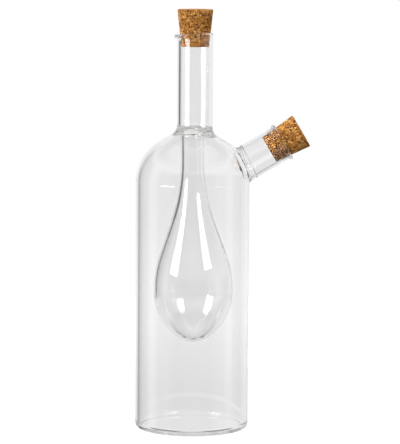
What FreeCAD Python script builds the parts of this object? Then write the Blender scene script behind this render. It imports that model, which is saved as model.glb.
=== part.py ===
"""Dual oil and vinegar bottle in lampworked borosilicate glass, with two tapered corks.

The bottle is one fused piece of glass. A straight-walled vessel holds the oil and pours
through a slanting side spout. A teardrop vessel hangs inside it on a narrow stem, sealed to
the root of the neck, and holds the vinegar. Each mouth is closed by the same tapered cork.

Frame: millimetres, +Z up, the origin at the middle of the base on the table, +X towards the
spout. Everything that is round about the bottle is drawn in the XZ plane and revolved.
"""

import FreeCAD, Part
import Sketcher
import math
import os

from FreeCAD import Vector

# Every size that can be chosen by itself, in millimetres, or degrees where the name says so.
SIZES = [
    # the outer vessel
    ("body_outer_diameter", 70.0),
    ("body_wall", 2.1),
    ("base_thickness", 2.2),
    ("base_corner_radius", 3.2),
    ("base_inner_radius", 2.4),
    ("shoulder_height", 152.6),
    ("dome_arc_radius", 29.5),
    ("dome_slope_degrees", 30.0),
    # both mouths are cut from one stock of tube, because the same cork closes them
    ("tube_outer_diameter", 21.8),
    ("tube_wall", 1.8),
    ("lip_outer_diameter", 24.2),
    ("lip_thickness", 2.5),
    ("mouth_edge_radius", 0.7),
    # the neck stands a little off the middle, and its lip was set by hand
    ("neck_shift", 1.15),
    ("neck_length", 59.4),
    ("neck_flare_radius", 7.0),
    ("neck_seal_rise", 4.4),
    ("neck_seal_radius", 1.4),
    ("neck_seal_degrees", 20.0),
    ("seal_edge_radius", 0.8),
    ("neck_lip_shift", -0.85),
    ("neck_lip_tilt_degrees", 2.9),
    # the side spout: its axis crosses the bottle's a little below the shoulder, and its length
    # is what stands out past the line of the vessel's wall
    ("spout_drop", 7.6),
    ("spout_rise_degrees", 30.9),
    ("spout_length", 23.1),
    ("spout_flare_radius", 3.0),
    ("spout_root_radius", 4.2),
    # the welds: a bead of glass round the neck, and two round the spout, one where the vessel's
    # collar ends and one where the tube was joined to it, each a little out of square
    ("weld_bead_radius", 0.8),
    ("weld_bead_height", 0.35),
    ("neck_weld_rise", 2.4),
    ("neck_weld_tilt_degrees", 1.9),
    ("spout_collar_rise", -2.6),
    ("spout_collar_tilt_degrees", 11.2),
    ("spout_weld_rise", -0.4),
    ("spout_weld_tilt_degrees", 3.6),
    # the inner teardrop and the stem it hangs on
    ("stem_outer_diameter", 14.2),
    ("stem_root_radius", 1.2),
    ("stem_shift", -0.5),
    ("stem_lean_degrees", 0.68),
    ("bulb_wall", 1.8),
    ("bulb_diameter", 49.0),
    ("bulb_length", 130.2),
    ("bulb_belly_drop", 97.6),
    ("bulb_nose_radius", 16.0),
    ("bulb_nose_wall", 2.6),
    ("bulb_shoulder_radius", 67.0),
    ("bulb_flare_radius", 110.0),
    ("bulb_taper_degrees", 19.5),
    # the corks
    ("cork_length", 22.9),
    ("cork_taper_degrees", 5.98),
    ("cork_ease", 0.45),
    ("cork_seat_clearance", 0.05),
    ("cork_edge_radius", 0.5),
    ("neck_cork_depth", 6.8),
    ("spout_cork_depth", 9.0),
]

OVERRUN = 4.0  # how far a cut runs on past the surface it opens
ROOT_OVERLAP = 6.0  # how far the neck starts inside the vessel it is welded to
TOUCH = 0.01  # how near a point is to a surface that it lies on

# Sizes that follow from the ones above, as expressions that the model keeps up to date.
BODY_R = "(sizes.body_outer_diameter / 2)"
TUBE_R = "(sizes.tube_outer_diameter / 2)"
BORE_R = "(sizes.tube_outer_diameter / 2 - sizes.tube_wall)"
STEM_R = "(sizes.stem_outer_diameter / 2)"
BULB_R = "(sizes.bulb_diameter / 2)"
LIP_R = "(sizes.lip_outer_diameter / 2)"
SLOPE = "(sizes.dome_slope_degrees * 1 deg)"
# the dome's cone meets the wall of the neck at the joint, which the neck is measured from
CONE_REACH = f"({BODY_R} - sizes.dome_arc_radius * (1 - sin({SLOPE})))"
JOINT_Z = (
    f"(sizes.shoulder_height + sizes.dome_arc_radius * cos({SLOPE})"
    f" + ({CONE_REACH} - {TUBE_R}) * tan({SLOPE}))"
)
NECK_LIP_Z = f"({JOINT_Z} + sizes.neck_length)"
STEM_LEAN = "(sizes.stem_lean_degrees * 1 deg)"
BELLY_RISE = "(sizes.bulb_length - sizes.bulb_belly_drop)"
# the stem ends where the neck's bore does, this far above the teardrop's tip
SEAL_RISE = "(sizes.bulb_length + sizes.neck_seal_rise)"
# the cork's small end slips into the bore, and its flank seats in the mouth
CORK_R = f"({BORE_R} - sizes.cork_ease)"
CORK_SLOPE = "tan(sizes.cork_taper_degrees * 1 deg)"

# the spout, measured along its axis from where that crosses the bottle's axis
SPOUT_RISE = "(sizes.spout_rise_degrees * 1 deg)"
SPOUT_FOOT_Z = "(sizes.shoulder_height - sizes.spout_drop)"
WALL_REACH = f"({BODY_R} / cos({SPOUT_RISE}))"
SPOUT_REACH = f"({WALL_REACH} + sizes.spout_length)"

# Where a sketch of each tube stands: at the tube's foot, with its y axis along the tube.
NECK = {"x": "sizes.neck_shift", "z": JOINT_Z}
SPOUT = {"z": SPOUT_FOOT_Z, "turn": "sizes.spout_rise_degrees - 90"}
# The teardrop's sketches stand at its tip. It hangs a little out of line with the neck.
TEARDROP = {
    "x": f"sizes.stem_shift + sizes.bulb_length * sin({STEM_LEAN})",
    "z": f"{JOINT_Z} - sizes.bulb_length * cos({STEM_LEAN})",
    "turn": "sizes.stem_lean_degrees",
}


def on_neck(rise, tilt):
    """A sketch's place across the neck, tilted up towards the spout."""
    return {"x": "sizes.neck_shift", "z": f"{JOINT_Z} + {rise}", "turn": tilt}


def on_spout(reach, tilt="0"):
    """A sketch's place across the spout, its top edge tilted outwards."""
    return {
        "x": f"({reach}) * cos({SPOUT_RISE})",
        "z": f"{SPOUT_FOOT_Z} + ({reach}) * sin({SPOUT_RISE})",
        "turn": f"sizes.spout_rise_degrees - {tilt} - 90",
    }


def seat_radius(height):
    """The mouth's radius at a height above the cork's small end."""
    return f"({CORK_R} + ({height}) * {CORK_SLOPE} + sizes.cork_seat_clearance)"


def make_sheet(doc):
    """The spreadsheet of driving sizes, one alias to a row."""
    sheet = doc.addObject("Spreadsheet::Sheet", "sizes")
    for row, (alias, value) in enumerate(SIZES, start=1):
        sheet.set(f"A{row}", alias)
        sheet.set(f"B{row}", str(value))
        sheet.setAlias(f"B{row}", alias)
    doc.recompute()
    return sheet


def make_body(doc, label):
    """An empty body, named after the piece that it becomes."""
    body = doc.addObject("PartDesign::Body", label)
    body.Label = label
    return body


def plane_of(body, role):
    """One of the body's own origin planes."""
    for feature in body.Origin.OriginFeatures:
        if feature.Role == role:
            return feature
    raise LookupError(role)


class Profile:
    """A closed outline in the XZ plane. Local x runs along +X and local y along +Z.

    The outline is drawn piece by piece, near its true place. Its dimensions, each bound to an
    expression of the sizes, then pull it exactly there.
    """

    def __init__(self, body, name, x="0", z="0", turn="0"):
        self.doc = body.Document
        self.sketch = body.newObject("Sketcher::SketchObject", name)
        self.sketch.AttachmentSupport = (plane_of(body, "XZ_Plane"), "")
        self.sketch.MapMode = "FlatFace"
        self.sketch.setExpression("AttachmentOffset.Base.x", f"({x}) * 1 mm")
        self.sketch.setExpression("AttachmentOffset.Base.y", f"({z}) * 1 mm")
        self.sketch.setExpression("AttachmentOffset.Rotation.Angle", f"({turn}) * 1 deg")
        self.pieces = {}
        self.at = Vector(0, 0, 0)

    def now(self, expression):
        """What an expression comes to at the present sizes, for a first guess."""
        return float(self.sketch.evalExpression(expression))

    def start(self, x, y):
        self.at = Vector(x, y, 0)

    def line(self, key, x, y):
        """A straight piece to a corner near (x, y)."""
        end = Vector(x, y, 0)
        number = self.sketch.addGeometry(Part.LineSegment(self.at, end), False)
        self.pieces[key] = (number, 1, 2)
        self.at = end

    def arc(self, key, x, y, cx, cy, anticlockwise):
        """An arc to a corner near (x, y), about a centre near (cx, cy)."""
        begin = math.atan2(self.at.y - cy, self.at.x - cx)
        finish = math.atan2(y - cy, x - cx)
        radius = math.hypot(self.at.x - cx, self.at.y - cy)
        circle = Part.Circle(Vector(cx, cy, 0), Vector(0, 0, 1), radius)
        if anticlockwise:
            curve, head, tail = Part.ArcOfCircle(circle, begin, finish), 1, 2
        else:
            curve, head, tail = Part.ArcOfCircle(circle, finish, begin), 2, 1
        number = self.sketch.addGeometry(curve, False)
        self.pieces[key] = (number, head, tail)
        self.at = Vector(x, y, 0)

    def join(self, smooth=()):
        """Joins each piece to the next. A piece named in smooth runs on into the next."""
        keys = list(self.pieces)
        for key, after in zip(keys, keys[1:] + keys[:1]):
            number, _, tail = self.pieces[key]
            other, head, _ = self.pieces[after]
            kind = "Tangent" if key in smooth else "Coincident"
            self.sketch.addConstraint(Sketcher.Constraint(kind, number, tail, other, head))

    def level(self, *keys):
        for key in keys:
            self.sketch.addConstraint(Sketcher.Constraint("Horizontal", self.pieces[key][0]))

    def upright(self, *keys):
        for key in keys:
            self.sketch.addConstraint(Sketcher.Constraint("Vertical", self.pieces[key][0]))

    def centre_on(self, key, axis):
        """Puts an arc's centre on the sketch's own x axis (-1) or y axis (-2)."""
        number = self.pieces[key][0]
        self.sketch.addConstraint(Sketcher.Constraint("PointOnObject", number, 3, axis))

    def head_on(self, key, axis):
        """Puts a piece's first corner on the sketch's own x axis (-1) or y axis (-2)."""
        number, head, _ = self.pieces[key]
        self.sketch.addConstraint(Sketcher.Constraint("PointOnObject", number, head, axis))

    def _bind(self, name, constraint, expression):
        number = self.sketch.addConstraint(constraint)
        self.sketch.renameConstraint(number, name)
        self.sketch.setExpression(f"Constraints.{name}", expression)

    def head_x(self, key, expression):
        self._measure("DistanceX", f"{key}_x", self.pieces[key][:2], expression)

    def head_y(self, key, expression):
        self._measure("DistanceY", f"{key}_y", self.pieces[key][:2], expression)

    def centre_x(self, key, expression):
        self._measure("DistanceX", f"{key}_centre_x", (self.pieces[key][0], 3), expression)

    def centre_y(self, key, expression):
        self._measure("DistanceY", f"{key}_centre_y", (self.pieces[key][0], 3), expression)

    def _measure(self, kind, name, point, expression):
        size = Sketcher.Constraint(kind, -1, 1, *point, self.now(expression))
        self._bind(name, size, expression)

    def radius(self, key, expression):
        size = Sketcher.Constraint("Radius", self.pieces[key][0], self.now(expression))
        self._bind(f"{key}_radius", size, expression)

    def slant(self, key, expression):
        """The way a straight piece runs, in degrees anticlockwise from the sketch's x axis."""
        angle = math.radians(self.now(expression))
        size = Sketcher.Constraint("Angle", self.pieces[key][0], angle)
        self._bind(f"{key}_slant", size, f"({expression}) * 1 deg")

    def done(self):
        """Solves the outline, and refuses one that is loose or contradicts itself."""
        self.doc.recompute()
        if self.sketch.solve() != 0 or not self.sketch.FullyConstrained:
            raise ValueError(f"{self.sketch.Name} is not fully constrained")
        return self.sketch


def vessel_outline(body, name, radius, floor, corner, dome):
    """The outer vessel's shape about its axis: a flat floor, a straight wall and a dome."""
    p = Profile(body, name)
    wide, low, bend, arc = p.now(radius), p.now(floor), p.now(corner), p.now(dome)
    high = p.now("sizes.shoulder_height")
    slope = math.radians(p.now("sizes.dome_slope_degrees"))
    reach = wide - arc * (1 - math.sin(slope))
    brow = high + arc * math.cos(slope)
    p.start(0, low)
    p.line("floor", wide - bend, low)
    p.arc("corner", wide, low + bend, wide - bend, low + bend, True)
    p.line("wall", wide, high)
    p.arc("dome", reach, brow, wide - arc, high, True)
    p.line("cone", 0, brow + reach * math.tan(slope))
    p.line("axis", 0, low)
    p.join(smooth=("floor", "corner", "wall", "dome"))
    p.level("floor")
    p.upright("wall", "axis")
    p.head_on("floor", -2)
    p.head_y("floor", floor)
    p.head_x("wall", radius)
    p.radius("corner", corner)
    p.head_y("dome", "sizes.shoulder_height")
    p.radius("dome", dome)
    p.slant("cone", "180 - sizes.dome_slope_degrees")
    return p.done()


def rod_outline(body, name, radius, length, **place):
    """A plain rod that stands on the sketch's origin."""
    p = Profile(body, name, **place)
    wide, high = p.now(radius), p.now(length)
    p.start(0, 0)
    p.line("near", wide, 0)
    p.line("side", wide, high)
    p.line("end", 0, high)
    p.line("axis", 0, 0)
    p.join()
    p.level("near", "end")
    p.upright("side", "axis")
    p.head_on("near", -1)
    p.head_on("near", -2)
    p.head_x("side", radius)
    p.head_y("end", length)
    return p.done()


def lip_outline(body, name, **place):
    """The rolled rim of a mouth: a disc with a round edge, centred on the lip's own plane."""
    p = Profile(body, name, **place)
    half = p.now("sizes.lip_thickness / 2")
    rim = p.now(f"{LIP_R} - sizes.lip_thickness / 2")
    p.start(0, -half)
    p.line("under", rim, -half)
    p.arc("edge", rim, half, rim, 0, True)
    p.line("over", 0, half)
    p.line("axis", 0, -half)
    p.join(smooth=("under", "edge"))
    p.level("under", "over")
    p.upright("axis")
    p.head_on("under", -2)
    p.centre_on("edge", -1)
    p.centre_x("edge", f"{LIP_R} - sizes.lip_thickness / 2")
    p.radius("edge", "sizes.lip_thickness / 2")
    return p.done()


def bead_outline(body, name, **place):
    """The round section of a weld bead that stands a little out of a tube's wall."""
    p = Profile(body, name, **place)
    out = f"{TUBE_R} + sizes.weld_bead_height - sizes.weld_bead_radius"
    centre = Vector(p.now(out), 0, 0)
    circle = Part.Circle(centre, Vector(0, 0, 1), p.now("sizes.weld_bead_radius"))
    p.pieces["bead"] = (p.sketch.addGeometry(circle, False), 3, 3)
    p.centre_on("bead", -1)
    p.centre_x("bead", out)
    p.radius("bead", "sizes.weld_bead_radius")
    return p.done()


def draw_mouth(p, lip, depth):
    """The bore's straight wall and the seat that the cork's flank fits, to past the lip."""
    top = p.now(f"{lip} + {OVERRUN}")
    wide = p.now(seat_radius(f"{depth} + {OVERRUN}"))
    bore = p.now(BORE_R)
    p.line("bore", bore, top - (wide - bore) / p.now(CORK_SLOPE))
    p.line("seat", wide, top)
    p.line("end", 0, top)


def size_mouth(p, lip, depth):
    """Binds the pieces that draw_mouth drew."""
    p.upright("bore")
    p.level("end")
    p.head_x("bore", BORE_R)
    p.head_x("end", seat_radius(f"{depth} + {OVERRUN}"))
    p.head_y("end", f"{lip} + {OVERRUN}")
    p.slant("seat", "90 - sizes.cork_taper_degrees")


def bore_outline(body, name, lip, depth, **place):
    """The inside of a tube, from the sketch's origin out through its mouth."""
    p = Profile(body, name, **place)
    p.start(0, 0)
    p.line("near", p.now(BORE_R), 0)
    draw_mouth(p, lip, depth)
    p.line("axis", 0, 0)
    p.join()
    p.level("near")
    p.upright("axis")
    p.head_on("near", -1)
    p.head_on("near", -2)
    size_mouth(p, lip, depth)
    return p.done()


def draw_teardrop(p, wall, nose_wall):
    """The teardrop from its tip up to its stem, a wall's thickness in from the outside."""
    wide = p.now(f"{BULB_R} - {wall}")
    nose = p.now(f"sizes.bulb_nose_radius - {wall}")
    belly = p.now(BELLY_RISE)
    tip = p.now(nose_wall)
    shoulder = p.now(f"sizes.bulb_shoulder_radius - {wall}")
    flare = p.now(f"sizes.bulb_flare_radius + {wall}")
    stem = p.now(f"{STEM_R} - {wall}")
    taper = math.radians(p.now("sizes.bulb_taper_degrees"))
    drop = belly - tip
    lower = (wide**2 + drop**2 - 2 * drop * nose) / (2 * (wide - nose))
    nose_x = nose * (lower - wide) / (lower - nose)
    nose_y = tip + nose - nose * (drop - nose) / (lower - nose)
    out, up = math.cos(taper), math.sin(taper)
    brow_x = wide - shoulder + shoulder * out
    brow_y = belly + shoulder * up
    throat_x = stem + flare - flare * out
    throat_y = brow_y + (brow_x - throat_x) * out / up
    stem_y = throat_y + flare * up
    p.start(0, tip)
    p.arc("nose", nose_x, nose_y, 0, tip + nose, True)
    p.arc("lower", wide, belly, wide - lower, belly, True)
    p.arc("upper", brow_x, brow_y, wide - shoulder, belly, True)
    p.line("side", throat_x, throat_y)
    p.arc("flare", stem, stem_y, stem + flare, stem_y, False)


def size_teardrop(p, wall, nose_wall):
    """Binds the pieces that draw_teardrop drew."""
    p.head_on("nose", -2)
    p.centre_on("nose", -2)
    p.head_y("nose", nose_wall)
    p.radius("nose", f"sizes.bulb_nose_radius - {wall}")
    p.head_x("upper", f"{BULB_R} - {wall}")
    p.head_y("upper", BELLY_RISE)
    p.centre_y("lower", BELLY_RISE)
    p.radius("upper", f"sizes.bulb_shoulder_radius - {wall}")
    p.slant("side", "90 + sizes.bulb_taper_degrees")
    p.radius("flare", f"sizes.bulb_flare_radius + {wall}")
    p.head_x("stem", f"{STEM_R} - {wall}")


def teardrop_outline(body, name, wall, nose_wall):
    """The teardrop and its stem, which runs up through the neck's root: solid, or its hollow."""
    p = Profile(body, name, **TEARDROP)
    tip, top = p.now(nose_wall), p.now(SEAL_RISE)
    draw_teardrop(p, wall, nose_wall)
    p.line("stem", p.now(f"{STEM_R} - {wall}"), top)
    p.line("top", 0, top)
    p.line("axis", 0, tip)
    p.join(smooth=("nose", "lower", "upper", "side", "flare"))
    size_teardrop(p, wall, nose_wall)
    p.upright("stem", "axis")
    p.level("top")
    p.head_y("top", SEAL_RISE)
    return p.done()


def neck_void_outline(body, name):
    """The neck's hollow, from the sloping floor of the seal at its root up through its mouth."""
    p = Profile(body, name, **NECK)
    bend = p.now("sizes.neck_seal_radius")
    slope = math.radians(p.now("sizes.neck_seal_degrees"))
    bore, start = p.now(BORE_R), p.now("sizes.neck_seal_rise")
    across = bore - bend * (1 - math.sin(slope))
    edge = start - bend * math.cos(slope)
    middle = edge - across * math.tan(slope)
    p.start(0, middle)
    p.line("seal", across, edge)
    p.arc("seal_head", bore, start, bore - bend, start, True)
    draw_mouth(p, "sizes.neck_length", "sizes.neck_cork_depth")
    p.line("axis", 0, middle)
    p.join(smooth=("seal", "seal_head"))
    p.upright("axis")
    p.head_on("seal", -2)
    p.radius("seal_head", "sizes.neck_seal_radius")
    p.slant("seal", "sizes.neck_seal_degrees")
    p.head_y("bore", "sizes.neck_seal_rise")
    size_mouth(p, "sizes.neck_length", "sizes.neck_cork_depth")
    return p.done()


def cork_outline(body, name, lip, depth, **place):
    """A tapered stopper whose small end is a depth below the lip of its mouth."""
    p = Profile(body, name, **place)
    foot, head = f"{lip} - {depth}", f"{lip} - {depth} + sizes.cork_length"
    small, low, high = p.now(CORK_R), p.now(foot), p.now(head)
    wide = small + (high - low) * p.now(CORK_SLOPE)
    p.start(0, low)
    p.line("small_end", small, low)
    p.line("flank", wide, high)
    p.line("big_end", 0, high)
    p.line("axis", 0, low)
    p.join()
    p.level("small_end", "big_end")
    p.upright("axis")
    p.head_on("small_end", -2)
    p.head_y("small_end", foot)
    p.head_x("flank", CORK_R)
    p.head_y("big_end", head)
    p.slant("flank", "90 - sizes.cork_taper_degrees")
    return p.done()


def revolve(body, kind, name, sketch):
    """A full turn of an outline about its sketch's own y axis."""
    feature = body.newObject(f"PartDesign::{kind}", name)
    feature.Profile = sketch
    feature.ReferenceAxis = (sketch, ["V_Axis"])
    feature.Angle = 360.0
    body.Document.recompute()
    return feature


def add(body, name, outline):
    return revolve(body, "Revolution", name, outline)


def cut(body, name, outline):
    return revolve(body, "Groove", name, outline)


def round_edges(body, name, before, edges, radius):
    """A fillet along edges that were found on the feature before it."""
    if not edges:
        raise ValueError(f"{name} has no edge to round")
    feature = body.newObject("PartDesign::Fillet", name)
    feature.Base = (before, edges)
    feature.setExpression("Radius", radius)
    body.Document.recompute()
    return feature


class Axis:
    """A straight axis in the XZ plane, to measure along it and out from it."""

    def __init__(self, x, z, rise_degrees=90.0):
        turn = math.radians(rise_degrees)
        self.foot = Vector(x, 0, z)
        self.way = Vector(math.cos(turn), 0, math.sin(turn))

    def along(self, point):
        return (point - self.foot).dot(self.way)

    def out(self, point):
        return (point - self.foot).cross(self.way).Length


def edges_where(shape, test):
    """The names of the edges with every one of a few points on them passing a test."""
    found = []
    for number, edge in enumerate(shape.Edges, start=1):
        if not edge.Degenerated and all(test(point) for point in edge.discretize(7)):
            found.append(f"Edge{number}")
    return found


def root_edges(shape, axis, radius, low, high):
    """The edges where a tube of one radius meets the glass it grows from, between two heights."""

    def on_root(point):
        return abs(axis.out(point) - radius) < TOUCH and low < axis.along(point) < high

    return edges_where(shape, on_root)


def mouth_edges(shape, axis, lip, size):
    """The sharp edge between a mouth's seat and the flat top of its lip."""
    middle_of_wall = (size["tube_outer_diameter"] - size["tube_wall"]) / 2

    def on_mouth(point):
        near_lip = abs(axis.along(point) - lip) < size["lip_thickness"]
        return near_lip and axis.out(point) < middle_of_wall

    return edges_where(shape, on_mouth)


def add_vessel(glass):
    """The outer vessel, solid for now."""
    bends = ("sizes.base_corner_radius", "sizes.dome_arc_radius")
    add(glass, "vessel", vessel_outline(glass, "vessel_outline", BODY_R, "0", *bends))


def add_neck(glass, size, axis):
    """The neck, welded to the dome with a flare and a bead."""
    root = {"x": "sizes.neck_shift", "z": f"{JOINT_Z} - {ROOT_OVERLAP}"}
    length = f"sizes.neck_length + {ROOT_OVERLAP}"
    tube = add(glass, "neck_tube", rod_outline(glass, "neck_outline", TUBE_R, length, **root))
    edges = root_edges(tube.Shape, axis, size["tube_outer_diameter"] / 2, -ROOT_OVERLAP, ROOT_OVERLAP)
    round_edges(glass, "neck_flare", tube, edges, "sizes.neck_flare_radius")
    place = on_neck("sizes.neck_weld_rise", "sizes.neck_weld_tilt_degrees")
    add(glass, "neck_weld", bead_outline(glass, "neck_weld_section", **place))


def add_spout(glass, size, axis):
    """The spout, flared into the vessel's shoulder, with the beads of its collar and its weld."""
    outline = rod_outline(glass, "spout_outline", TUBE_R, SPOUT_REACH, **SPOUT)
    tube = add(glass, "spout_tube", outline)
    edges = root_edges(tube.Shape, axis, size["tube_outer_diameter"] / 2, 0, size["spout_wall"])
    round_edges(glass, "spout_flare", tube, edges, "sizes.spout_flare_radius")
    for bead in ("spout_collar", "spout_weld"):
        place = on_spout(f"{WALL_REACH} + sizes.{bead}_rise", f"sizes.{bead}_tilt_degrees")
        add(glass, bead, bead_outline(glass, f"{bead}_section", **place))


def add_lips(glass):
    """The rolled rims of both mouths."""
    neck_lip = {
        "x": "sizes.neck_shift + sizes.neck_lip_shift",
        "z": NECK_LIP_Z,
        "turn": "sizes.neck_lip_tilt_degrees",
    }
    add(glass, "neck_lip", lip_outline(glass, "neck_lip_outline", **neck_lip))
    add(glass, "spout_lip", lip_outline(glass, "spout_lip_outline", **on_spout(SPOUT_REACH)))


def hollow_oil_side(glass, size, axis):
    """The oil's chamber, open through the spout's bore."""
    inner = f"{BODY_R} - sizes.body_wall"
    bends = ("sizes.base_inner_radius", "sizes.dome_arc_radius - sizes.body_wall")
    cut(glass, "chamber", vessel_outline(glass, "chamber_outline", inner, "sizes.base_thickness", *bends))
    mouth = (SPOUT_REACH, "sizes.spout_cork_depth")
    bore = cut(glass, "spout_bore", bore_outline(glass, "spout_bore_outline", *mouth, **SPOUT))
    bore_r = size["tube_outer_diameter"] / 2 - size["tube_wall"]
    edges = root_edges(bore.Shape, axis, bore_r, 0, size["spout_wall"])
    round_edges(glass, "spout_root", bore, edges, "sizes.spout_root_radius")


def hang_teardrop(glass, size):
    """The teardrop on its stem, sealed to the neck's root, and the hollow through all three."""
    axis = Axis(size["stem_shift"], float(glass.evalExpression(JOINT_Z)), 90 + size["stem_lean_degrees"])
    stem_r = size["stem_outer_diameter"] / 2
    teardrop = add(glass, "teardrop", teardrop_outline(glass, "teardrop_outline", "0", "0"))
    edges = root_edges(teardrop.Shape, axis, stem_r, -OVERRUN, OVERRUN)
    round_edges(glass, "stem_root", teardrop, edges, "sizes.stem_root_radius")
    cut(glass, "neck_void", neck_void_outline(glass, "neck_void_outline"))
    walls = ("sizes.bulb_wall", "sizes.bulb_nose_wall")
    hollow = cut(glass, "teardrop_void", teardrop_outline(glass, "teardrop_void_outline", *walls))
    edges = root_edges(hollow.Shape, axis, stem_r - size["bulb_wall"], -OVERRUN, OVERRUN)
    return round_edges(glass, "seal_edge", hollow, edges, "sizes.seal_edge_radius")


def make_glass(doc, size):
    """The bottle: its outside as one solid lump, then the hollows and what hangs in them."""
    glass = make_body(doc, "glass_bottle")
    size["spout_wall"] = float(glass.evalExpression(WALL_REACH))
    neck = Axis(size["neck_shift"], float(glass.evalExpression(JOINT_Z)))
    spout = Axis(0, size["shoulder_height"] - size["spout_drop"], size["spout_rise_degrees"])
    add_vessel(glass)
    add_neck(glass, size, neck)
    add_spout(glass, size, spout)
    add_lips(glass)
    hollow_oil_side(glass, size, spout)
    last = hang_teardrop(glass, size)
    spout_reach = size["spout_wall"] + size["spout_length"]
    for name, axis, lip in (("neck", neck, size["neck_length"]), ("spout", spout, spout_reach)):
        edges = mouth_edges(last.Shape, axis, lip, size)
        last = round_edges(glass, f"{name}_mouth", last, edges, "sizes.mouth_edge_radius")
    return glass


def make_cork(doc, label, lip, depth, **mouth):
    """A cork, pushed into a mouth small end first."""
    cork = make_body(doc, label)
    outline = cork_outline(cork, f"{label}_outline", lip, depth, **mouth)
    stopper = add(cork, f"{label}_stopper", outline)
    rims = []
    for number, edge in enumerate(stopper.Shape.Edges, start=1):
        if edge.isClosed() and not edge.Degenerated:
            rims.append(f"Edge{number}")
    round_edges(cork, f"{label}_edges", stopper, rims, "sizes.cork_edge_radius")
    return cork


def check(doc, bodies):
    """Stops on a feature that failed or a piece that isn't one sound solid."""
    for thing in doc.Objects:
        if "Invalid" in thing.State or "Error" in thing.State:
            raise ValueError(f"{thing.Name} failed: {thing.State}")
    for body in bodies:
        shape = body.Shape
        if shape.isNull() or not shape.isValid() or len(shape.Solids) != 1:
            raise ValueError(f"{body.Label} is not one valid solid")


def main():
    doc = FreeCAD.newDocument("bottle")
    sheet = make_sheet(doc)
    size = {alias: sheet.get(alias) for alias, _ in SIZES}
    bodies = [
        make_glass(doc, size),
        make_cork(doc, "neck_cork", "sizes.neck_length", "sizes.neck_cork_depth", **NECK),
        make_cork(doc, "spout_cork", SPOUT_REACH, "sizes.spout_cork_depth", **SPOUT),
    ]
    doc.recompute()
    check(doc, bodies)
    os.makedirs("parts", exist_ok=True)
    for body in bodies:
        body.Shape.exportStep(f"parts/{body.Label}.step")
        print(body.Label, round(body.Shape.Volume, 1), "mm3")


main()
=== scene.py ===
"""Looks of the dual oil and vinegar bottle: clear glass and pressed cork between two softboxes."""

import math

import bpy
from mathutils import Euler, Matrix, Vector, noise


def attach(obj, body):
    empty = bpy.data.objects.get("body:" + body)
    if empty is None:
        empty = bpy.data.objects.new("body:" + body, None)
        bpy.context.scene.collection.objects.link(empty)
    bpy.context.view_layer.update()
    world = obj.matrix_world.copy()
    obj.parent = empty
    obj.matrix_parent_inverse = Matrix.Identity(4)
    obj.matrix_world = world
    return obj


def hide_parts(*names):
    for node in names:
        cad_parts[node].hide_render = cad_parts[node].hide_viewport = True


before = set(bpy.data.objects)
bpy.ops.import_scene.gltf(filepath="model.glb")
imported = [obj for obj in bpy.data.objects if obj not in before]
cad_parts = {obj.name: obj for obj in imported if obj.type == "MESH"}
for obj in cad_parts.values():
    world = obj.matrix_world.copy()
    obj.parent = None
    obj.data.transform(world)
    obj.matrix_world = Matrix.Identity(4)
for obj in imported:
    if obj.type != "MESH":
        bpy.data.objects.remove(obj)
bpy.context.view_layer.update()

# The camera, fitted to the photo's outline: metres, degrees, and a lens on a 36 mm sensor.
CAMERA_AT = Vector((0.0047, -1.690, 0.316))
CAMERA_TARGET = Vector((0.0047, 0.0, 0.1281))
CAMERA_ROLL = 0.33
CAMERA_LENS = 223.5
CAMERA_REACH = 20.0

# The softboxes. Azimuth 0 is towards the camera, 90 towards the spout. Lengths are in metres.
SOFTBOXES = (
    {"name": "left_softbox", "azimuth": -61, "width": 0.255, "low": 0.185},
    {"name": "right_softbox", "azimuth": 49.5, "width": 0.25, "low": 0.267},
)
SOFTBOX_HIGH = 0.62
SOFTBOX_DISTANCE = 0.55
SOFTBOX_RADIANCE = 18.0
# Only rays with more steps than this and fewer mirror images than this meet them, so that they
# show in the teardrop and not in the outer wall.
SOFTBOX_DEPTH = 5.5
SOFTBOX_MIRRORS = 2.5

# What glass sees of the room at each azimuth, as (degrees, grey), above the table's level.
ROOM = ((-180, 1.0), (-168, 0.97), (-152, 0.86), (-142, 0.12), (-106, 0.12), (-97, 0.9),
        (-83, 0.9), (-74, 0.05), (40, 0.05), (56, 0.6), (125, 0.95), (180, 1.0))
# Below and above that part of the room, at the elevations where its share is 0, it sees these.
ROOM_SHARE = ((-14.0, 0.0), (-11.5, 1.0), (24.0, 1.0), (34.0, 0.0))
TABLE_AND_CEILING = ((-90, 0.95), (-78, 0.95), (-72, 0.3), (-43, 0.3), (-39, 0.85), (0, 0.9),
                     (34, 0.9), (37, 0.5), (52, 0.5), (56, 0.9), (90, 0.9))
# A factor on the room's greys at each elevation, as the backdrop curves into the table.
BACKDROP = ((-9.8, 0.86), (-8.4, 0.975), (-7.4, 0.975), (-6.2, 0.91), (0, 0.91))
ELEVATIONS = (-90, 90)
# Low strips of light: two sides, a bottom and a top in degrees, and a radiance. They show only as
# the first mirror image in an outer surface, and the neck is at a height to show them whole.
STRIPS = (
    (-68, -36, -4.45, -2.7, 8.0),
    (-68, -36, -2.7, -2.3, 15.0),
    (42, 71, -4.45, -2.7, 8.0),
)
STRIPS_DEPTH = 2.5
# The soft light on what isn't glass, from below and from above, and its share at each azimuth.
LIGHT_BELOW = 0.15
LIGHT_ABOVE = 2.30
LIGHT_SIDES = ((-180, 0.9), (-120, 1.35), (-50, 1.35), (20, 0.6), (100, 0.45), (180, 0.9))

# The pale floor: its size and place in metres, and the greys that it glows and scatters.
FLOOR_RADIUS = 0.60
FLOOR_SIDES = 96
FLOOR_AT = Vector((0.0, 0.0, -0.0002))
FLOOR_GLOW = 0.9
FLOOR_TONE = 0.2

# The glass, and the cords in it: noise, stretched upright, and the tones at two of its levels.
GLASS_INDEX = 1.47
CORDS_PER_METRE = 60.0
CORDS_STRETCH = (1.0, 1.0, 0.12)
CORD_TONES = ((0.3, 0.978), (0.7, 0.990))

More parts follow.
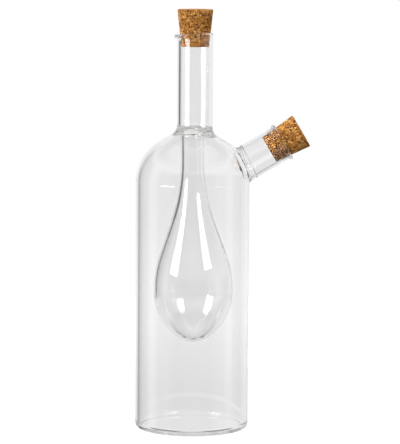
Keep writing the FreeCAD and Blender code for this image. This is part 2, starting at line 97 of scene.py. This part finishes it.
# The corks' skins: how far apart their points are in metres, and how many to a turn.
CORK_STEP = 0.00045
CORK_TURN = 150
SPOUT_RISE = 30.9
# The pressed granules: their size in metres, and their colours, by chance.
GRANULE = 0.0013
GRANULE_TONES = (
    (0.00, (0.230, 0.080, 0.013)),
    (0.20, (0.350, 0.132, 0.022)),
    (0.50, (0.460, 0.188, 0.034)),
    (0.75, (0.600, 0.275, 0.060)),
    (1.00, (0.760, 0.420, 0.140)),
)
CORK_SPECULAR = 0.25
# Noise bends the granules' edges, by this much in metres.
BENDS_PER_METRE = 450.0
BEND = 0.0016
# The joints between granules: their share by distance from a granule's edge, and how far in from
# the edge the bump still rises.
JOINT_SHARE = ((0.0, 0.40), (0.08, 0.0))
JOINT_COLOUR = (0.160, 0.050, 0.008, 1)
JOINT_RISE = 0.2
# Flecks of bark: how many lie along a granule, and their share by chance.
FLECKS = 1.9
FLECK_SHARE = ((0.79, 0.0), (0.82, 0.95))
FLECK_COLOUR = (0.080, 0.023, 0.005, 1)
# The fine grain: its shade, its roughness, and its height beside the joints' rise.
GRAINS_PER_METRE = 2400.0
GRAIN_SHADE = ((0.3, 0.80), (0.7, 1.15))
GRAIN_ROUGHNESS = ((0.3, 0.95), (0.7, 0.78))
GRAIN_HEIGHT = 0.35
BUMP_STRENGTH = 0.6
BUMP_DISTANCE = 0.0006
# The skin's relief: how deep joints, holes and swells go in metres. A joint's width, and how often
# holes and swells come, are to a granule. A hole starts where the noise passes its level.
JOINT_PIT, HOLE_PIT, SWELL_PIT = 0.00011, 0.0011, 0.00008
JOINT_WIDTH = 0.25
HOLES, HOLE_LEVEL = 1.7, 0.42
SWELLS = 0.35

# With few bounces the bottle's base and the weld of its neck turn black.
BOUNCES = 160
DEGREES = 180 / math.pi


class Nodes:
    """Builds a node tree with short calls. A value may be a number or another node's output."""

    def __init__(self, tree):
        self.nodes = tree.nodes
        self.links = tree.links

    def put(self, value, socket):
        if isinstance(value, bpy.types.NodeSocket):
            self.links.new(value, socket)
        else:
            socket.default_value = value

    def add(self, kind, settings=None, **inputs):
        node = self.nodes.new(kind)
        for key, value in (settings or {}).items():
            setattr(node, key, value)
        for key, value in inputs.items():
            self.put(value, node.inputs[key.replace("_", " ")])
        return node

    def maths(self, operation, *values):
        node = self.nodes.new("ShaderNodeMath")
        node.operation = operation
        for socket, value in zip(node.inputs, values):
            self.put(value, socket)
        return node.outputs[0]

    def mix(self, share, first, second, blend="MIX"):
        """A colour between two, or one blended with another."""
        node = self.nodes.new("ShaderNodeMix")
        node.data_type = "RGBA"
        node.blend_type = blend
        for place, value in ((0, share), (6, first), (7, second)):
            self.put(value, node.inputs[place])
        return node.outputs[2]

    def ramp(self, value, stops):
        """A colour from a list of (place, colour or grey)."""
        node = self.nodes.new("ShaderNodeValToRGB")
        self.put(value, node.inputs["Fac"])
        points = node.color_ramp.elements
        while len(points) < len(stops):
            points.new(0.5)
        for point, (place, tone) in zip(points, stops):
            point.position = place
            point.color = (tone, tone, tone, 1) if isinstance(tone, (int, float)) else (*tone, 1)
        return node.outputs["Color"]

    def between(self, angle, low, high):
        """1 where an angle lies between two, in degrees, and 0 elsewhere."""
        degrees = self.maths("MULTIPLY", angle, DEGREES)
        above = self.maths("GREATER_THAN", degrees, low)
        return self.maths("MULTIPLY", above, self.maths("LESS_THAN", degrees, high))

    def by_angle(self, angle, stops, low=-180, high=180):
        """A grey against an angle, from a list of (degrees, grey) between two angles."""
        degrees = self.maths("MULTIPLY", angle, DEGREES)
        place = self.add("ShaderNodeMapRange", Value=degrees, From_Min=low, From_Max=high)
        spread = [((angle - low) / (high - low), tone) for angle, tone in stops]
        return self.ramp(place.outputs["Result"], spread)


def around(azimuth, distance, height):
    """A point seen from the bottle's axis."""
    turn = math.radians(azimuth)
    return Vector((math.sin(turn) * distance, -math.cos(turn) * distance, height))


def make_camera():
    data = bpy.data.cameras.new("camera")
    data.lens = CAMERA_LENS
    data.clip_end = CAMERA_REACH
    camera = bpy.data.objects.new("camera", data)
    camera.location = CAMERA_AT
    look = (CAMERA_TARGET - CAMERA_AT).to_track_quat("-Z", "Y")
    roll = Euler((0, 0, math.radians(CAMERA_ROLL))).to_quaternion()
    camera.rotation_mode = "QUATERNION"
    camera.rotation_quaternion = look @ roll
    bpy.context.scene.collection.objects.link(camera)
    bpy.context.scene.camera = camera


def make_softbox(name, azimuth, width, low):
    """A lamp that faces the bottle's axis, from a height up to the softboxes' common top."""
    data = bpy.data.lights.new(name, "AREA")
    data.shape = "RECTANGLE"
    data.size = width
    data.size_y = SOFTBOX_HIGH - low
    data.energy = SOFTBOX_RADIANCE * math.pi * width * (SOFTBOX_HIGH - low)
    lamp = bpy.data.objects.new(name, data)
    lamp.location = around(azimuth, SOFTBOX_DISTANCE, (low + SOFTBOX_HIGH) / 2)
    lamp.rotation_mode = "QUATERNION"
    lamp.rotation_quaternion = around(azimuth, -1, 0).to_track_quat("-Z", "Y")
    lamp.visible_camera = False
    bpy.context.scene.collection.objects.link(lamp)
    data.use_nodes = True
    n = Nodes(data.node_tree)
    path = n.add("ShaderNodeLightPath")
    inside = n.maths("GREATER_THAN", path.outputs["Ray Depth"], SOFTBOX_DEPTH)
    direct = n.maths("LESS_THAN", path.outputs["Glossy Depth"], SOFTBOX_MIRRORS)
    n.put(n.maths("MULTIPLY", inside, direct), n.nodes["Emission"].inputs["Strength"])


def grey(level):
    return (level, level, level, 1)


def make_world():
    """White wherever the camera looks. Glass also sees the room's darker parts and the table."""
    world = bpy.data.worlds.new("studio")
    bpy.context.scene.world = world
    world.use_nodes = True
    n = Nodes(world.node_tree)
    background = n.nodes["Background"]
    way = n.add("ShaderNodeSeparateXYZ", Vector=n.add("ShaderNodeTexCoord").outputs["Generated"])
    back = n.maths("MULTIPLY", way.outputs["Y"], -1.0)
    azimuth = n.maths("ARCTAN2", way.outputs["X"], back)
    elevation = n.maths("ARCSINE", way.outputs["Z"])
    backdrop = n.by_angle(elevation, BACKDROP, *ELEVATIONS)
    room = n.mix(1.0, n.by_angle(azimuth, ROOM), backdrop, "MULTIPLY")
    beyond = n.by_angle(elevation, TABLE_AND_CEILING, *ELEVATIONS)
    seen = n.mix(n.by_angle(elevation, ROOM_SHARE, *ELEVATIONS), beyond, room)
    path = n.add("ShaderNodeLightPath")
    first = n.maths("LESS_THAN", path.outputs["Ray Depth"], STRIPS_DEPTH)
    first = n.maths("MULTIPLY", first, path.outputs["Is Reflection Ray"])
    for left, right, bottom, top, radiance in STRIPS:
        across = n.between(azimuth, left, right)
        strip = n.maths("MULTIPLY", across, n.between(elevation, bottom, top))
        seen = n.mix(n.maths("MULTIPLY", first, strip), seen, grey(radiance))
    seen = n.mix(path.outputs["Is Camera Ray"], seen, grey(1.0))
    height = n.maths("MULTIPLY_ADD", way.outputs["Z"], 0.5, 0.5)
    soft = n.mix(height, grey(LIGHT_BELOW), grey(LIGHT_ABOVE))
    soft = n.mix(1.0, soft, n.by_angle(azimuth, LIGHT_SIDES), "MULTIPLY")
    scattered = n.maths("GREATER_THAN", path.outputs["Diffuse Depth"], 0.5)
    seen = n.mix(scattered, seen, soft)
    n.put(seen, background.inputs["Color"])
    background.inputs["Strength"].default_value = 1.0


def make_floor():
    """A pale disc that only the camera sees. Every other ray passes it and meets the world."""
    mesh = bpy.data.meshes.new("floor")
    ring = [around(step * 360 / FLOOR_SIDES, FLOOR_RADIUS, 0) for step in range(FLOOR_SIDES)]
    mesh.from_pydata(ring, [], [tuple(range(FLOOR_SIDES))])
    floor = bpy.data.objects.new("floor", mesh)
    floor.location = FLOOR_AT
    bpy.context.scene.collection.objects.link(floor)
    material = bpy.data.materials.new("floor")
    material.use_nodes = True
    n = Nodes(material.node_tree)
    n.nodes.clear()
    path = n.add("ShaderNodeLightPath")
    through = n.add("ShaderNodeBsdfTransparent")
    glow = n.add("ShaderNodeEmission", Color=grey(FLOOR_GLOW))
    matt = n.add("ShaderNodeBsdfDiffuse", Color=grey(FLOOR_TONE))
    lit = n.add("ShaderNodeAddShader")
    n.put(glow.outputs[0], lit.inputs[0])
    n.put(matt.outputs[0], lit.inputs[1])
    choice = n.add("ShaderNodeMixShader", Fac=path.outputs["Is Camera Ray"])
    n.put(through.outputs[0], choice.inputs[1])
    n.put(lit.outputs[0], choice.inputs[2])
    out = n.add("ShaderNodeOutputMaterial")
    n.put(choice.outputs[0], out.inputs["Surface"])
    mesh.materials.append(material)


def new_material(name):
    material = bpy.data.materials.new(name)
    material.use_nodes = True
    n = Nodes(material.node_tree)
    return material, n, n.nodes["Principled BSDF"]


def glass_material():
    """Clear glass, drawn by hand: faint upright cords in its thickness and its tone."""
    material, n, shader = new_material("clear_glass")
    place = n.add("ShaderNodeTexCoord").outputs["Object"]
    drawn = n.add("ShaderNodeMapping", Vector=place, Scale=CORDS_STRETCH)
    cords = n.add("ShaderNodeTexNoise", Vector=drawn.outputs[0], Scale=CORDS_PER_METRE, Detail=2.0)
    n.put(n.ramp(cords.outputs["Fac"], CORD_TONES), shader.inputs["Base Color"])
    shader.inputs["Roughness"].default_value = 0.0
    shader.inputs["IOR"].default_value = GLASS_INDEX
    shader.inputs["Transmission Weight"].default_value = 1.0
    return material


def cork_material():
    """Pressed cork: granules of several browns, dark joints and bark flecks, and a fine grain."""
    material, n, shader = new_material("pressed_cork")
    place = n.add("ShaderNodeTexCoord").outputs["Object"]
    bends = n.add("ShaderNodeTexNoise", Vector=place, Scale=BENDS_PER_METRE, Detail=2.0)
    push = n.add("ShaderNodeVectorMath", {"operation": "MULTIPLY_ADD"})
    for value, socket in zip((bends.outputs["Color"], (BEND, BEND, BEND), place), push.inputs):
        n.put(value, socket)
    bent = push.outputs[0]
    cells = n.add("ShaderNodeTexVoronoi", Vector=bent, Scale=1 / GRANULE)
    chance = n.add("ShaderNodeSeparateColor", Color=cells.outputs["Color"])
    tones = n.ramp(chance.outputs["Red"], GRANULE_TONES)
    to_edge = {"feature": "DISTANCE_TO_EDGE"}
    edge = n.add("ShaderNodeTexVoronoi", to_edge, Vector=bent, Scale=1 / GRANULE)
    tones = n.mix(n.ramp(edge.outputs["Distance"], JOINT_SHARE), tones, JOINT_COLOUR)
    small = n.add("ShaderNodeTexVoronoi", Vector=bent, Scale=FLECKS / GRANULE)
    chance = n.add("ShaderNodeSeparateColor", Color=small.outputs["Color"])
    tones = n.mix(n.ramp(chance.outputs["Green"], FLECK_SHARE), tones, FLECK_COLOUR)
    grain = n.add("ShaderNodeTexNoise", Vector=place, Scale=GRAINS_PER_METRE, Detail=3.0)
    grain = grain.outputs["Fac"]
    tones = n.mix(1.0, tones, n.ramp(grain, GRAIN_SHADE), blend="MULTIPLY")
    n.put(tones, shader.inputs["Base Color"])
    shader.inputs["Specular IOR Level"].default_value = CORK_SPECULAR
    n.put(n.ramp(grain, GRAIN_ROUGHNESS), shader.inputs["Roughness"])
    joints = n.maths("MINIMUM", edge.outputs["Distance"], JOINT_RISE)
    height = n.maths("MULTIPLY_ADD", grain, GRAIN_HEIGHT, joints)
    bump = n.add("ShaderNodeBump", Strength=BUMP_STRENGTH, Distance=BUMP_DISTANCE, Height=height)
    n.put(bump.outputs[0], shader.inputs["Normal"])
    return material


def cork_outline(node, way, side):
    """How far a cork's axis is off the origin, and its outline, read off its CAD node.

    The outline is in pairs (along, out), from the middle of its foot to the middle of its head.
    """
    corners = [corner.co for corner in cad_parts[node].data.vertices]
    across = [corner.dot(side) for corner in corners]
    shift = (min(across) + max(across)) / 2
    pairs = set()
    for corner, off in zip(corners, across):
        pairs.add((round(corner.dot(way), 6), round(math.hypot(off - shift, corner.y), 6)))
    foot, head = min(pairs)[0], max(pairs)[0]
    middle = (foot + head) / 2
    pairs.update(((foot, 0.0), (head, 0.0)))
    return shift, sorted(pairs, key=lambda pair: math.atan2(pair[0] - middle, pair[1]))


def evenly(outline, step):
    """Points spaced along an outline, which keeps its two ends."""
    points = [Vector(pair) for pair in outline]
    reach = [0.0]
    for before, after in zip(points, points[1:]):
        reach.append(reach[-1] + (after - before).length)
    count = round(reach[-1] / step)
    spaced, at = [], 0
    for number in range(count + 1):
        want = reach[-1] * number / count
        while at < len(points) - 2 and reach[at + 1] < want:
            at += 1
        run = reach[at + 1] - reach[at]
        share = (want - reach[at]) / run if run else 0.0
        spaced.append(points[at].lerp(points[at + 1], min(share, 1.0)))
    return spaced


def pit_depth(point):
    """How far a cork's skin lies below its smooth surface, in metres."""
    place = point / GRANULE
    near, next_near = noise.voronoi(place)[0][:2]
    joint = max(0.0, 1.0 - (next_near - near) / JOINT_WIDTH)
    hole = max(0.0, noise.noise(place * HOLES) - HOLE_LEVEL)
    swell = 0.5 + 0.5 * noise.noise(place * SWELLS)
    return JOINT_PIT * joint + HOLE_PIT * hole + SWELL_PIT * swell


def make_cork(node, rise, material):
    """A cork's skin of pressed granules, in place of its smooth CAD node."""
    turn = math.radians(rise)
    way = Vector((math.cos(turn), 0, math.sin(turn)))
    side = Vector((way.z, 0, -way.x))
    shift, outline = cork_outline(node, way, side)
    spaced = evenly(outline, CORK_STEP)
    corners, faces = [], []
    for number, pair in enumerate(spaced):
        before, after = spaced[max(number - 1, 0)], spaced[min(number + 1, len(spaced) - 1)]
        run = (after - before).normalized()
        ring = CORK_TURN if 0 < number < len(spaced) - 1 else 1
        for step in range(ring):
            spin = math.tau * step / ring
            out = side * math.cos(spin) + Vector((0, 1, 0)) * math.sin(spin)
            point = side * shift + way * pair[0] + out * pair[1]
            normal = out * run[0] - way * run[1]
            corners.append(point - normal * pit_depth(point))
    rings = len(spaced) - 2
    last = len(corners) - 1
    for step in range(CORK_TURN):
        after = (step + 1) % CORK_TURN
        faces.append((0, 1 + step, 1 + after))
        for ring in range(rings - 1):
            low, high = 1 + ring * CORK_TURN, 1 + (ring + 1) * CORK_TURN
            faces.append((low + step, high + step, high + after, low + after))
        top = 1 + (rings - 1) * CORK_TURN
        faces.append((top + step, last, top + after))
    mesh = bpy.data.meshes.new(f"{node}_skin")
    mesh.from_pydata(corners, [], faces)
    mesh.shade_smooth()
    mesh.materials.append(material)
    skin = bpy.data.objects.new(f"{node}_skin", mesh)
    bpy.context.scene.collection.objects.link(skin)
    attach(skin, "root")
    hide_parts(node)


def dress(node, material):
    """Gives a CAD node its own material."""
    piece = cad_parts[node]
    piece.data.materials.clear()
    piece.data.materials.append(material)


make_camera()
make_world()
make_floor()
for softbox in SOFTBOXES:
    make_softbox(**softbox)
dress("glass_bottle", glass_material())
cork = cork_material()
make_cork("neck_cork", 90.0, cork)
make_cork("spout_cork", SPOUT_RISE, cork)

bpy.context.scene.view_settings.view_transform = "Standard"
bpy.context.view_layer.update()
cycles = bpy.context.scene.cycles
cycles.max_bounces = BOUNCES
cycles.transmission_bounces = BOUNCES
cycles.glossy_bounces = BOUNCES
